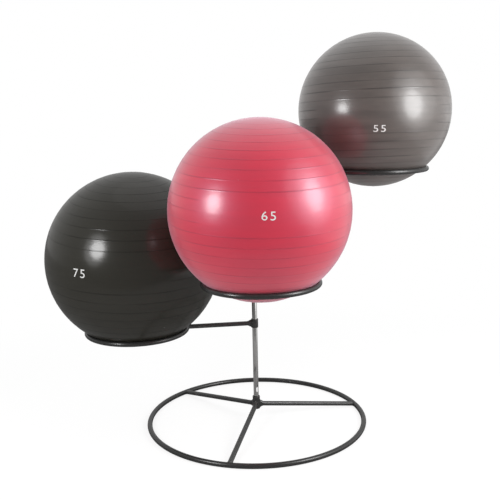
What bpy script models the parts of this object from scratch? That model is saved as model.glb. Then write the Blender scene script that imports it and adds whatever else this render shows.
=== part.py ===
# Ball storage rack: a tubular ring base, a bright sectional pole and three swinging ring arms,
# each with an exercise ball lying loose in its ring. Metres, +Z up. The origin is on the floor at
# the centre of the loaded rack's footprint, and the pole stands at POLE_X, POLE_Y from it.

from math import asin, ceil, cos, pi, radians, sin, sqrt

import bmesh
import bpy
from mathutils import Matrix, Vector

# Clearance between pieces that touch or run on each other
GAP = 0.0003

# Base: a closed ring of round tube, three spokes that climb to the hub
BASE_RING_RADIUS = 0.467
BASE_TUBE_RADIUS = 0.011
SPOKE_TUBE_RADIUS = 0.010
FRAME_WALL = 0.0015
SPOKE_COUNT = 3
SPOKE_TURN = radians(16.5)

# Hub sleeve, and the flanged post that closes it and carries the pole
HUB_RADIUS = 0.016
HUB_LENGTH = 0.056
HUB_BOTTOM = 0.054
SPOKE_ABOVE_HUB_BOTTOM = 0.021
POST_FLANGE_THICKNESS = 0.004
POST_ABOVE_BUTTON = 0.022

# Pole: two sections of the same tube, the lower one with a swaged spigot at its top
POLE_RADIUS = 0.011
POLE_WALL = 0.0015
POLE_ABOVE_COLLAR = 0.021
SPIGOT_LENGTH = 0.062
SWAGE_LENGTH = 0.006
CAP_OVERHANG = 0.0012
CAP_HEIGHT = 0.007
CAP_STEM_LENGTH = 0.016

# Spring lock buttons: the foot lock shows above the hub, the others are behind the pole
FOOT_BUTTON_HEIGHT = 0.158
FOOT_BUTTON_TURN = radians(-55)
JOINT_BUTTON_RISE = 0.032
REAR_BUTTON_TURN = radians(110)
BUTTON_RADIUS = 0.003
BUTTON_FLANGE_RADIUS = 0.004
BUTTON_FLANGE_THICKNESS = 0.001
LOCK_BUTTON_REACH = 0.0018
STOP_BUTTON_REACH = 0.0030
CLIP_THICKNESS = 0.0006
CLIP_WIDTH = 0.006
CLIP_BEND_RADIUS = 0.0022
CLIP_LENGTH = 0.030

# Arms: a collar on the pole, a straight tube and the ring that holds a ball
COLLAR_RADIUS = 0.015
COLLAR_LENGTH = 0.038
EDGE_CHAMFER = 0.0012
ARM_REACH = 0.500
ARM_TUBE_RADIUS = 0.0095
HOLDER_RING_RADIUS = 0.2095
HOLDER_TUBE_RADIUS = 0.010

# Where a spoke or an arm meets its sleeve, the tube end is pressed taller and thinner
PRESSED_TALL = 1.62
PRESSED_THIN = 0.78
PRESSED_TAPER = 0.016

# A vent hole inside each welded tube joint opens the ring's hollow to the arm or spoke
VENT_RADIUS = 0.0024

# Balls: thin inflated shells with a plugged valve hole at the underside. Low ribs are moulded
# round them, and each solid keeps one in RIB_SHARE. A faceted ball's corners stand a little
# outside its true surface, so that its facets lie about that surface.
BALL_WALL = 0.0008
BALL_CORNER_LIFT = 0.0014
RIB_SHARE = 2
RIB_HEIGHT = 0.0010
RIB_FLANK = radians(0.9)
VALVE_HOLE_RADIUS = 0.004
PLUG_HEAD_RADIUS = 0.0065
PLUG_HEAD_THICKNESS = 0.0015
PLUG_STEM_LENGTH = 0.016

# The three levels: height of each arm, and the ball that lies in its ring
LOWER_ARM_HEIGHT = 0.441
MIDDLE_ARM_HEIGHT = 0.735
UPPER_ARM_HEIGHT = 1.100
LOWER_BALL_RADIUS = 0.360
MIDDLE_BALL_RADIUS = 0.325
UPPER_BALL_RADIUS = 0.302

# Height on the ball of its first rib above the middle, and the turn between its ribs
LOWER_RIBS = (radians(20.2), radians(6.25))
MIDDLE_RIBS = (radians(21.5), radians(6.42))
UPPER_RIBS = (radians(7.4), radians(6.15))

# The middle arm's direction, and how far the outer balls are swung clear of its ball
MIDDLE_ARM_TURN = radians(273)
LOWER_BALL_CLEARANCE = 0.041
UPPER_BALL_CLEARANCE = 0.092

# Facets: how many sides each kind of round has
RING_TUBE_SIDES = 10
RING_HOLLOW_SIDES = 5
BASE_RING_STEPS = 48
HOLDER_RING_STEPS = 24
POLE_SIDES = 20
ARM_TUBE_SIDES = 12
BUTTON_SIDES = 12
VENT_SIDES = 8

# Sizes that follow from the ones above
POLE_BORE = POLE_RADIUS - POLE_WALL
SPIGOT_RADIUS = (POLE_BORE - GAP) * cos(pi / POLE_SIDES)
SPIGOT_BORE = SPIGOT_RADIUS - POLE_WALL
RUNNING_BORE = (POLE_RADIUS + GAP) / cos(pi / POLE_SIDES)
BASE_RING_HEIGHT = BASE_TUBE_RADIUS * cos(pi / RING_TUBE_SIDES)
HUB_TOP = HUB_BOTTOM + HUB_LENGTH
SPOKE_HUB_HEIGHT = HUB_BOTTOM + SPOKE_ABOVE_HUB_BOTTOM
POST_TOP = FOOT_BUTTON_HEIGHT + POST_ABOVE_BUTTON
POLE_BOTTOM = HUB_BOTTOM + POST_FLANGE_THICKNESS + GAP
POLE_TOP = UPPER_ARM_HEIGHT + COLLAR_LENGTH / 2 + POLE_ABOVE_COLLAR
JOINT_HEIGHT = (LOWER_ARM_HEIGHT + MIDDLE_ARM_HEIGHT) / 2


def ring_reach(turn):
    """How far a holder ring's faceted tube reaches in a direction measured from straight up."""
    step = 2 * pi / RING_TUBE_SIDES
    off_facet = turn - step * round(turn / step)
    return HOLDER_TUBE_RADIUS * cos(step / 2) / cos(off_facet)


def seat_rise(ball_radius):
    """Height of a ball's centre above the ring that it lies in."""
    lean = asin(HOLDER_RING_RADIUS / (ball_radius + HOLDER_TUBE_RADIUS))
    reach = ball_radius + ring_reach(lean) + GAP
    return sqrt(reach**2 - HOLDER_RING_RADIUS**2)


def spread(low_height, low_radius, high_height, high_radius, clearance):
    """Turn between two arms whose balls clear each other by a distance."""
    apart = low_radius + high_radius + clearance
    rise = high_height + seat_rise(high_radius) - low_height - seat_rise(low_radius)
    return 2 * asin(sqrt(apart**2 - rise**2) / (2 * ARM_REACH))


LOWER_ARM_TURN = MIDDLE_ARM_TURN - spread(
    LOWER_ARM_HEIGHT, LOWER_BALL_RADIUS, MIDDLE_ARM_HEIGHT, MIDDLE_BALL_RADIUS,
    LOWER_BALL_CLEARANCE,
)
UPPER_ARM_TURN = MIDDLE_ARM_TURN + spread(
    MIDDLE_ARM_HEIGHT, MIDDLE_BALL_RADIUS, UPPER_ARM_HEIGHT, UPPER_BALL_RADIUS,
    UPPER_BALL_CLEARANCE,
)

# Level name, arm height, arm direction seen from above, then its ball's radius and ribs
LEVELS = (
    ("lower", LOWER_ARM_HEIGHT, LOWER_ARM_TURN, LOWER_BALL_RADIUS, LOWER_RIBS),
    ("middle", MIDDLE_ARM_HEIGHT, MIDDLE_ARM_TURN, MIDDLE_BALL_RADIUS, MIDDLE_RIBS),
    ("upper", UPPER_ARM_HEIGHT, UPPER_ARM_TURN, UPPER_BALL_RADIUS, UPPER_RIBS),
)
BALL_COLORS = {
    "lower": (0.045, 0.045, 0.043),
    "middle": (0.50, 0.035, 0.065),
    "upper": (0.17, 0.155, 0.145),
}


def clear_scene():
    for obj in list(bpy.data.objects):
        bpy.data.objects.remove(obj, do_unlink=True)


def new_collection(name):
    collection = bpy.data.collections.new(name)
    bpy.context.scene.collection.children.link(collection)
    return collection


def new_material(name, color, metallic, roughness):
    material = bpy.data.materials.new(name)
    material.use_nodes = True
    shader = material.node_tree.nodes["Principled BSDF"]
    shader.inputs["Base Color"].default_value = (*color, 1.0)
    shader.inputs["Metallic"].default_value = metallic
    shader.inputs["Roughness"].default_value = roughness
    material.diffuse_color = (*color, 1.0)
    return material


def add_object(name, mesh, collection, material=None, parent=None):
    obj = bpy.data.objects.new(name, mesh)
    collection.objects.link(obj)
    obj.parent = parent
    if material:
        mesh.materials.append(material)
    return obj


def as_cutter(obj):
    obj.hide_render = True
    obj.display_type = "WIRE"
    return obj


def cut(obj, cutter):
    modifier = obj.modifiers.new("cut " + cutter.name, "BOOLEAN")
    modifier.operation = "DIFFERENCE"
    modifier.solver = "EXACT"
    modifier.object = cutter


def turned(name, outline, steps, collection, closed=False, material=None, parent=None):
    """Turn an outline of (radius, height) points round Z; its outer side runs downwards."""
    mesh = bpy.data.meshes.new(name)
    points = [(r, 0.0, z) for r, z in outline]
    count = len(points)
    edges = [(i, i + 1) for i in range(count - 1)]
    if closed:
        edges.append((count - 1, 0))
    mesh.from_pydata(points, edges, [])
    obj = add_object(name, mesh, collection, material, parent)
    screw = obj.modifiers.new("turn", "SCREW")
    screw.axis = "Z"
    screw.angle = 2 * pi
    screw.steps = steps
    screw.render_steps = steps
    screw.use_merge_vertices = True
    screw.merge_threshold = 0.00001
    screw.use_smooth_shade = True
    return obj


def tube_circle(ring_radius, tube_radius, sides):
    """Closed outline of a ring's tube, with a flat facet on top and at the bottom."""
    turns = [2 * pi * (i + 0.5) / sides for i in range(sides)]
    return [(ring_radius + tube_radius * sin(t), tube_radius * cos(t)) for t in turns]


def sleeve_outline(outer, bore, bottom, top, chamfer):
    return [
        (outer - chamfer, top),
        (outer, top - chamfer),
        (outer, bottom + chamfer),
        (outer - chamfer, bottom),
        (bore, bottom),
        (bore, top),
    ]


def radial_hole(name, radius, sides, turned_by, start, end, height, turn, collection):
    """A cutter that points away from the Z axis at a height and a turn."""
    mesh = bpy.data.meshes.new(name)
    shape = bmesh.new()
    lie_down = Matrix.Translation(((start + end) / 2, 0, 0)) @ Matrix.Rotation(pi / 2, 4, "Y")
    bmesh.ops.create_cone(
        shape,
        cap_ends=True,
        segments=sides,
        radius1=radius,
        radius2=radius,
        depth=end - start,
        matrix=lie_down @ Matrix.Rotation(turned_by, 4, "Z"),
    )
    shape.to_mesh(mesh)
    shape.free()
    obj = add_object(name, mesh, collection)
    obj.location = (0, 0, height)
    obj.rotation_euler = (0, 0, turn)
    return as_cutter(obj)


def pressed_tube(name, start, sleeve_radius, end, radius, collection, material, parent):
    """Open tube along X whose sleeve end is pressed taller and thinner, with a thin wall."""
    pressed = sleeve_radius + 0.1 * PRESSED_TAPER
    stations = (
        (start, PRESSED_TALL, PRESSED_THIN),
        (pressed, PRESSED_TALL, PRESSED_THIN),
        (pressed + PRESSED_TAPER, 1.0, 1.0),
        (end, 1.0, 1.0),
    )
    shape = bmesh.new()
    ring = bmesh.ops.create_circle(
        shape,
        cap_ends=False,
        segments=ARM_TUBE_SIDES,
        radius=radius,
        matrix=Matrix.Rotation(pi / 2, 4, "Y") @ Matrix.Rotation(pi / ARM_TUBE_SIDES, 4, "Z"),
    )["verts"]
    edges = list(shape.edges)
    last_x, last_tall, last_thin = 0.0, 1.0, 1.0
    for number, (x, tall, thin) in enumerate(stations):
        if number:
            made = bmesh.ops.extrude_edge_only(shape, edges=edges)["geom"]
            ring = [item for item in made if isinstance(item, bmesh.types.BMVert)]
            edges = [item for item in made if isinstance(item, bmesh.types.BMEdge)]
        bmesh.ops.scale(shape, vec=(1, thin / last_thin, tall / last_tall), verts=ring)
        bmesh.ops.translate(shape, vec=(x - last_x, 0, 0), verts=ring)
        last_x, last_tall, last_thin = x, tall, thin
    bmesh.ops.recalc_face_normals(shape, faces=shape.faces)
    first = shape.faces[:][0]
    if first.normal.dot(first.calc_center_median() * Vector((0, 1, 1))) < 0:
        bmesh.ops.reverse_faces(shape, faces=shape.faces)
    mesh = bpy.data.meshes.new(name)
    shape.to_mesh(mesh)
    shape.free()
    mesh.shade_smooth()
    obj = add_object(name, mesh, collection, material, parent)
    wall = obj.modifiers.new("wall", "SOLIDIFY")
    wall.thickness = FRAME_WALL
    wall.offset = -1
    wall.use_even_offset = True
    return obj


def hollow_ring(name, ring_radius, tube_radius, steps, places, material, parent):
    """A welded ring of round tube: a turned tube outline with a turned hollow cut out of it."""
    parts, cutters = places
    ring = turned(
        name, tube_circle(ring_radius, tube_radius, RING_TUBE_SIDES), steps, parts, True,
        material, parent,
    )
    hollow_outline = tube_circle(ring_radius, tube_radius - FRAME_WALL, RING_HOLLOW_SIDES)
    hollow = turned(name + " hollow", hollow_outline, steps, cutters, True, None, parent)
    cut(ring, as_cutter(hollow))
    return ring, hollow


def vent(ring, name, ring_radius, tube_radius, height, turn, cutters, parent):
    """Open a ring's hollow where the mouth of a welded tube covers the hole."""
    hole = radial_hole(
        name, VENT_RADIUS, VENT_SIDES, pi / VENT_SIDES, ring_radius - 2 * tube_radius,
        ring_radius, height, turn, cutters,
    )
    hole.parent = parent
    cut(ring, hole)
    return hole


def grown_ring(name, ring_radius, tube_radius, steps, cutters, parent):
    """The same ring grown by the clearance, which copes the tube ends that are welded to it."""
    outline = tube_circle(ring_radius, tube_radius + GAP, RING_TUBE_SIDES)
    return as_cutter(turned(name, outline, steps, cutters, True, None, parent))


def footprint_centre():
    """Centre of the loaded rack's outline on the floor, measured from the pole."""
    low = [-BASE_RING_RADIUS - BASE_TUBE_RADIUS] * 2
    high = [BASE_RING_RADIUS + BASE_TUBE_RADIUS] * 2
    for _, _, turn, ball_radius, _ in LEVELS:
        reach = max(ball_radius, HOLDER_RING_RADIUS + HOLDER_TUBE_RADIUS)
        for axis, along in enumerate((cos(turn), sin(turn))):
            low[axis] = min(low[axis], ARM_REACH * along - reach)
            high[axis] = max(high[axis], ARM_REACH * along + reach)
    return [(a + b) / 2 for a, b in zip(low, high)]


def make_base(places, stand, powder_coat, steel):
    parts, cutters = places
    ring, hollow = hollow_ring(
        "base_ring", BASE_RING_RADIUS, BASE_TUBE_RADIUS, BASE_RING_STEPS, places, powder_coat,
        stand,
    )
    ring.location.z = BASE_RING_HEIGHT
    hollow.location.z = BASE_RING_HEIGHT
    cope = grown_ring(
        "spoke cope", BASE_RING_RADIUS, BASE_TUBE_RADIUS, BASE_RING_STEPS, cutters, stand
    )
    cope.location.z = BASE_RING_HEIGHT

    turned(
        "hub_sleeve",
        sleeve_outline(HUB_RADIUS, RUNNING_BORE, HUB_BOTTOM, HUB_TOP, EDGE_CHAMFER),
        POLE_SIDES, parts, True, powder_coat, stand,
    )
    room = HUB_RADIUS + GAP
    hub_room = turned(
        "hub room", [(0, 2 * HUB_TOP), (room, 2 * HUB_TOP), (room, 0), (0, 0)],
        POLE_SIDES, cutters, False, None, stand,
    )
    as_cutter(hub_room)

    drop = SPOKE_HUB_HEIGHT - BASE_RING_HEIGHT
    slope = asin(drop / sqrt(BASE_RING_RADIUS**2 + drop**2))
    length = sqrt(BASE_RING_RADIUS**2 + drop**2)
    for number in range(SPOKE_COUNT):
        turn = SPOKE_TURN + 2 * pi * number / SPOKE_COUNT
        name = f"base_spoke_{number + 1}"
        spoke = pressed_tube(
            name, 0.35 * HUB_RADIUS, HUB_RADIUS, length, SPOKE_TUBE_RADIUS, parts, powder_coat,
            stand,
        )
        spoke.location = (0, 0, SPOKE_HUB_HEIGHT)
        spoke.rotation_euler = (0, slope, turn)
        cut(spoke, cope)
        cut(spoke, hub_room)
        vent(
            ring, f"spoke vent {number + 1}", BASE_RING_RADIUS, BASE_TUBE_RADIUS,
            BASE_RING_HEIGHT, turn, cutters, stand,
        )

    flange_radius = (RUNNING_BORE - GAP) * cos(pi / POLE_SIDES)
    flange_top = HUB_BOTTOM + POST_FLANGE_THICKNESS
    post_outline = [
        (0, flange_top),
        (SPIGOT_BORE, flange_top),
        (SPIGOT_BORE, POST_TOP),
        (SPIGOT_RADIUS, POST_TOP),
        (SPIGOT_RADIUS, flange_top),
        (flange_radius, flange_top),
        (flange_radius, HUB_BOTTOM),
        (0, HUB_BOTTOM),
    ]
    return turned("base_post", post_outline, POLE_SIDES, parts, False, steel, stand)


def make_pole(places, stand, chrome, black_plastic):
    parts, _ = places
    spigot_top = JOINT_HEIGHT + SPIGOT_LENGTH
    lower = turned(
        "pole_lower",
        [
            (SPIGOT_RADIUS, spigot_top),
            (SPIGOT_RADIUS, JOINT_HEIGHT),
            (POLE_RADIUS, JOINT_HEIGHT),
            (POLE_RADIUS, POLE_BOTTOM),
            (POLE_BORE, POLE_BOTTOM),
            (POLE_BORE, JOINT_HEIGHT - SWAGE_LENGTH),
            (SPIGOT_BORE, JOINT_HEIGHT - POLE_WALL),
            (SPIGOT_BORE, spigot_top),
        ],
        POLE_SIDES, parts, True, chrome, stand,
    )
    upper = turned(
        "pole_upper",
        [
            (POLE_RADIUS, POLE_TOP),
            (POLE_RADIUS, JOINT_HEIGHT + GAP),
            (POLE_BORE, JOINT_HEIGHT + GAP),
            (POLE_BORE, POLE_TOP),
        ],
        POLE_SIDES, parts, True, chrome, stand,
    )
    rim = POLE_RADIUS + CAP_OVERHANG
    seat = POLE_TOP + GAP
    turned(
        "pole_cap",
        [
            (0, seat + CAP_HEIGHT),
            (0.62 * rim, seat + CAP_HEIGHT),
            (0.90 * rim, seat + 0.80 * CAP_HEIGHT),
            (rim, seat + 0.45 * CAP_HEIGHT),
            (rim, seat),
            (SPIGOT_RADIUS, seat),
            (SPIGOT_RADIUS, seat - CAP_STEM_LENGTH),
            (0, seat - CAP_STEM_LENGTH),
        ],
        POLE_SIDES, parts, False, black_plastic, stand,
    )
    return lower, upper


def button_seat(bore):
    """How far from the pole's axis a button's flat flange sits inside a bore."""
    room = bore * cos(pi / POLE_SIDES) - GAP
    return sqrt(room**2 - BUTTON_FLANGE_RADIUS**2)


def make_button(name, bore, reach, height, turn, parts, steel, stand):
    seat = button_seat(bore)
    tip = POLE_RADIUS + reach
    shoulder = tip - 0.45 * BUTTON_RADIUS
    flange_back = seat - BUTTON_FLANGE_THICKNESS
    button = turned(
        name,
        [
            (0, tip),
            (0.62 * BUTTON_RADIUS, tip - 0.10 * BUTTON_RADIUS),
            (BUTTON_RADIUS, shoulder),
            (BUTTON_RADIUS, seat),
            (BUTTON_FLANGE_RADIUS, seat),
            (BUTTON_FLANGE_RADIUS, flange_back),
            (0, flange_back),
        ],
        BUTTON_SIDES, parts, False, steel, stand,
    )
    button.location = (0, 0, height)
    button.rotation_euler = (0, pi / 2, turn)
    return button


def clip_path(bore):
    """Side view of a V clip: the pressed leg behind the button, the bend, the resting leg."""
    front = button_seat(bore) - BUTTON_FLANGE_THICKNESS - GAP
    room = bore * cos(pi / POLE_SIDES) - GAP
    back = -sqrt(room**2 - (CLIP_WIDTH / 2) ** 2)
    bend = CLIP_BEND_RADIUS
    bend_height = bend - CLIP_LENGTH
    leg_top = 1.4 * BUTTON_FLANGE_RADIUS
    arc = [pi * i / 6 for i in range(7)]
    path = [(front, leg_top), (front, -leg_top)]
    path += [(bend * cos(t), bend_height - bend * sin(t)) for t in arc]
    path += [(back, -leg_top), (back, leg_top)]
    return path


def make_clip(name, bore, height, turn, parts, spring_steel, stand):
    path = clip_path(bore)
    mesh = bpy.data.meshes.new(name)
    shape = bmesh.new()
    verts = [shape.verts.new((x, -CLIP_WIDTH / 2, z)) for x, z in path]
    edges = [shape.edges.new(pair) for pair in zip(verts, verts[1:])]
    made = bmesh.ops.extrude_edge_only(shape, edges=edges)["geom"]
    across = [item for item in made if isinstance(item, bmesh.types.BMVert)]
    bmesh.ops.translate(shape, vec=(0, CLIP_WIDTH, 0), verts=across)
    bmesh.ops.recalc_face_normals(shape, faces=shape.faces)
    front_face = max(shape.faces, key=lambda face: face.calc_center_median().x)
    if front_face.normal.x < 0:
        bmesh.ops.reverse_faces(shape, faces=shape.faces)
    shape.to_mesh(mesh)
    shape.free()
    clip = add_object(name, mesh, parts, spring_steel, stand)
    clip.location = (0, 0, height)
    clip.rotation_euler = (0, 0, turn)
    leaf = clip.modifiers.new("leaf", "SOLIDIFY")
    leaf.thickness = CLIP_THICKNESS
    leaf.offset = -1
    leaf.use_even_offset = True
    return clip


def make_lock(name, tubes, bore, reach, height, turn, places, stand, steel):
    """A button through the tubes' walls and the V clip that pushes it out."""
    parts, cutters = places
    hole = radial_hole(
        name + " hole", BUTTON_RADIUS + GAP, BUTTON_SIDES, 0, 0.3 * bore, 2 * POLE_RADIUS,
        height, turn, cutters,
    )
    hole.parent = stand
    for tube in tubes:
        cut(tube, hole)
    make_button(name + "_button", bore, reach, height, turn, parts, steel, stand)
    make_clip(name + "_clip", bore, height, turn, parts, steel, stand)


def rib_turns(ribs, contact):
    """Turns from straight down of the ribs that a solid keeps, above its ring."""
    first, spacing = ribs
    step = RIB_SHARE * spacing
    count = ceil(pi / step)
    turns = [first + pi / 2 + step * k for k in range(-count, count + 1)]
    return [t for t in turns if contact + 0.45 * step < t < pi - 0.45 * step]


def ball_outline(radius, ribs):
    """Shell outline round the ball's centre, open at the underside for the valve."""
    contact = asin(HOLDER_RING_RADIUS / (radius + HOLDER_TUBE_RADIUS))
    hole = asin(VALVE_HOLE_RADIUS / (radius - BALL_WALL))
    corner = radius + BALL_CORNER_LIFT
    outer = [(turn, radius) for turn in (pi, contact, contact / 2, hole)]
    inner = [(turn, radius - BALL_WALL) for turn in (pi, contact, contact / 2, hole)]
    for turn in rib_turns(ribs, contact):
        outer += [(turn, corner + RIB_HEIGHT), (turn - RIB_FLANK, corner)]
        inner.append((turn, corner + RIB_HEIGHT / 2 - BALL_WALL))
    outer.sort(reverse=True)
    inner.sort()
    return [(reach * sin(t) if t < pi else 0, -reach * cos(t)) for t, reach in outer + inner]


def make_ball(name, radius, ribs, vinyl, parts, plug_plastic, parent):
    turned(
        name + "_shell", ball_outline(radius, ribs), HOLDER_RING_STEPS, parts, False, vinyl,
        parent,
    )
    stem = (VALVE_HOLE_RADIUS - GAP) * cos(pi / HOLDER_RING_STEPS)
    seat = -radius - GAP
    turned(
        name + "_plug",
        [
            (0, seat + PLUG_STEM_LENGTH),
            (0.8 * stem, seat + PLUG_STEM_LENGTH),
            (stem, seat + 0.8 * PLUG_STEM_LENGTH),
            (stem, seat),
            (PLUG_HEAD_RADIUS, seat),
            (0.85 * PLUG_HEAD_RADIUS, seat - PLUG_HEAD_THICKNESS),
            (0, seat - PLUG_HEAD_THICKNESS),
        ],
        BUTTON_SIDES, parts, False, plug_plastic, parent,
    )


def make_arm(level, places, stand, poles, powder_coat, steel, plug_plastic):
    parts, cutters = places
    name, height, turn, ball_radius, ribs = level
    pivot = add_object(f"{name}_arm_pivot", None, parts, None, stand)
    pivot.location = (0, 0, height)
    pivot.rotation_euler = (0, 0, turn)

    half = COLLAR_LENGTH / 2
    turned(
        f"{name}_collar",
        sleeve_outline(COLLAR_RADIUS, RUNNING_BORE, -half, half, EDGE_CHAMFER),
        POLE_SIDES, parts, True, powder_coat, pivot,
    )
    room = COLLAR_RADIUS + GAP
    tall = COLLAR_LENGTH
    collar_room = turned(
        f"{name} collar room", [(0, tall), (room, tall), (room, -tall), (0, -tall)],
        POLE_SIDES, cutters, False, None, pivot,
    )
    as_cutter(collar_room)

    ring, hollow = hollow_ring(
        f"{name}_ring", HOLDER_RING_RADIUS, HOLDER_TUBE_RADIUS, HOLDER_RING_STEPS, places,
        powder_coat, pivot,
    )
    cope = grown_ring(
        f"{name} arm cope", HOLDER_RING_RADIUS, HOLDER_TUBE_RADIUS, HOLDER_RING_STEPS, cutters,
        pivot,
    )
    opening = vent(
        ring, f"{name} arm vent", -HOLDER_RING_RADIUS, HOLDER_TUBE_RADIUS, 0, 0, cutters, pivot
    )
    for piece in (ring, hollow, cope, opening):
        piece.location.x = ARM_REACH

    arm_end = ARM_REACH - HOLDER_RING_RADIUS
    arm = pressed_tube(
        f"{name}_arm", 0.35 * COLLAR_RADIUS, COLLAR_RADIUS, arm_end, ARM_TUBE_RADIUS, parts,
        powder_coat, pivot,
    )
    cut(arm, cope)
    cut(arm, collar_room)

    seat = add_object(f"{name}_ball_seat", None, parts, None, pivot)
    seat.location = (ARM_REACH, 0, seat_rise(ball_radius))
    vinyl = new_material(f"{name} ball vinyl", BALL_COLORS[name], 0.0, 0.22)
    make_ball(f"{name}_ball", ball_radius, ribs, vinyl, parts, plug_plastic, seat)

    stop_height = height - half - GAP - BUTTON_RADIUS
    pole = poles[0] if stop_height < JOINT_HEIGHT else poles[1]
    make_lock(
        f"{name}_stop", [pole], POLE_BORE, STOP_BUTTON_REACH, stop_height, REAR_BUTTON_TURN,
        places, stand, steel,
    )


def main():
    clear_scene()
    parts = new_collection("ball_storage_rack")
    cutters = new_collection("cutters")
    places = (parts, cutters)
    powder_coat = new_material("black powder coat", (0.055, 0.055, 0.055), 0.3, 0.45)
    chrome = new_material("bright plated steel", (0.62, 0.62, 0.61), 1.0, 0.16)
    steel = new_material("zinc plated steel", (0.45, 0.45, 0.44), 1.0, 0.35)
    black_plastic = new_material("black cap plastic", (0.03, 0.03, 0.03), 0.0, 0.4)
    plug_plastic = new_material("white plug plastic", (0.75, 0.75, 0.73), 0.0, 0.35)

    centre_x, centre_y = footprint_centre()
    stand = add_object("pole_axis", None, parts)
    stand.location = (-centre_x, -centre_y, 0)

    post = make_base(places, stand, powder_coat, steel)
    lower_pole, upper_pole = make_pole(places, stand, chrome, black_plastic)
    make_lock(
        "foot_lock", [lower_pole, post], SPIGOT_BORE, LOCK_BUTTON_REACH, FOOT_BUTTON_HEIGHT,
        FOOT_BUTTON_TURN, places, stand, steel,
    )
    make_lock(
        "joint_lock", [lower_pole, upper_pole], SPIGOT_BORE, LOCK_BUTTON_REACH,
        JOINT_HEIGHT + JOINT_BUTTON_RISE, REAR_BUTTON_TURN, places, stand, steel,
    )
    for level in LEVELS:
        make_arm(
            level, places, stand, (lower_pole, upper_pole), powder_coat, steel, plug_plastic
        )


main()
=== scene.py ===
# Looks of a ball storage rack: ring base, plated pole, three swinging ring arms and three balls.
# Metres, in the frame's own place. What a user would change is in the dictionary above each piece.
from math import asin, atan2, cos, degrees, hypot, pi, radians, sin, tan

import bmesh
import bpy
from mathutils import Matrix, Vector, noise


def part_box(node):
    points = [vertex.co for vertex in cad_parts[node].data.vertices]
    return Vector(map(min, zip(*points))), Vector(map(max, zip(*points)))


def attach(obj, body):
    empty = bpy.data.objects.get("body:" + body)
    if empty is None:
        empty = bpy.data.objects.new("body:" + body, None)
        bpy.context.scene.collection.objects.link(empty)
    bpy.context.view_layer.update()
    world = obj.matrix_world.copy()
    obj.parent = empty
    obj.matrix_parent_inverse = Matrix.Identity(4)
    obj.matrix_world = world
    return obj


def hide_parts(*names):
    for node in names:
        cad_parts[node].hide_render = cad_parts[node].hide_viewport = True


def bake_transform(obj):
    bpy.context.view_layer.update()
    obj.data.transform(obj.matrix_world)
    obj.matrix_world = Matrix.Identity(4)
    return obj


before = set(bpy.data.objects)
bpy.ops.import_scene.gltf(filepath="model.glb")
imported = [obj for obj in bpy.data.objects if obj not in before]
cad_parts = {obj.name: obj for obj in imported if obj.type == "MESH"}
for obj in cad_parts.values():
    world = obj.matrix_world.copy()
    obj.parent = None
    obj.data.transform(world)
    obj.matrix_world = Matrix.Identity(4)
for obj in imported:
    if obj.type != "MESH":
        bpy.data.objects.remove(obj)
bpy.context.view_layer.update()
scene = bpy.context.scene
print("frame loaded:", len(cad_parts), "nodes")


def middleOf(node):
    low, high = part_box(node)
    return (low + high) / 2


# where the frame has its pole, rings and balls
poleAxis = middleOf("pole_lower")
poleAxis.z = 0
levelNames = ("lower", "middle", "upper")
armHeight = {level: middleOf(level + "_collar").z for level in levelNames}
ringMiddle = {level: middleOf(level + "_ring") for level in levelNames}
ballRadius = {"lower": 0.360, "middle": 0.325, "upper": 0.302}
ballMiddle = {}
for level in levelNames:
    ballMiddle[level] = middleOf(level + "_ball_shell")
    ballMiddle[level].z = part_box(level + "_ball_shell")[1].z - ballRadius[level]

# Sizes that several pieces share. A ring's tube lies midway between the corners and the flats
# of its faceted solid.
poleSize = {"radius": 0.011, "wall": 0.0015, "gap": 0.0003, "steps": 48}
holderRing = {"radius": 0.2095, "tube": 0.0098, "sides": 20, "steps": 144}


def between(low, high, part):
    return low + (high - low) * part


def smoothStep(low, high, value):
    part = min(1, max(0, (value - low) / (high - low)))
    return part * part * (3 - 2 * part)


def rolled(across, up, angle):
    # both turned by an angle in degrees in their own plane
    turn = radians(angle)
    return across * cos(turn) + up * sin(turn), up * cos(turn) - across * sin(turn)


def turnTo(spot):
    # the angle at which a spot lies round the pole
    away = spot - poleAxis
    return atan2(away.y, away.x)


def onPole(height=0.0, turn=0.0):
    # a place on the pole's axis, turned round it
    return Matrix.Translation(poleAxis + Vector((0, 0, height))) @ Matrix.Rotation(turn, 4, "Z")


def turnedOnce(shape, outline, steps):
    # the outline turned once round Z, joined up, with its faces outwards
    bmesh.ops.spin(
        shape, geom=outline, cent=(0, 0, 0), axis=(0, 0, 1), angle=2 * pi, steps=steps,
        use_merge=True, use_duplicate=False,
    )
    bmesh.ops.remove_doubles(shape, verts=shape.verts, dist=1e-6)
    bmesh.ops.recalc_face_normals(shape, faces=shape.faces)
    return shape


def spun(points, steps, closed=False):
    # a solid from an outline of (radius, height)
    shape = bmesh.new()
    verts = [shape.verts.new((radius, 0, height)) for radius, height in points]
    edges = [shape.edges.new(pair) for pair in zip(verts, verts[1:])]
    if closed:
        edges.append(shape.edges.new((verts[-1], verts[0])))
    return turnedOnce(shape, verts + edges, steps)


def hoop(ring):
    # a round tube bent into a closed ring
    shape = bmesh.new()
    stand = Matrix.Translation((ring["radius"], 0, 0)) @ Matrix.Rotation(pi / 2, 4, "X")
    made = bmesh.ops.create_circle(
        shape, segments=ring["sides"], radius=ring["tube"], matrix=stand
    )
    return turnedOnce(shape, made["verts"] + shape.edges[:], ring["steps"])


def softenRims(shape, size, segments=3, sharperThan=35):
    rims = [
        edge for edge in shape.edges
        if len(edge.link_faces) == 2 and edge.calc_face_angle() > radians(sharperThan)
    ]
    bmesh.ops.bevel(
        shape, geom=rims, offset=size, segments=segments, profile=0.5, affect="EDGES",
        material=-1, clamp_overlap=True,
    )


def tube(outer, inner, bottom, top, rim, segments=3):
    # a straight upright tube with soft rims
    outline = [(outer, top), (outer, bottom), (inner, bottom), (inner, top)]
    shape = spun(outline, poleSize["steps"], closed=True)
    softenRims(shape, rim, segments)
    return shape


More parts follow.
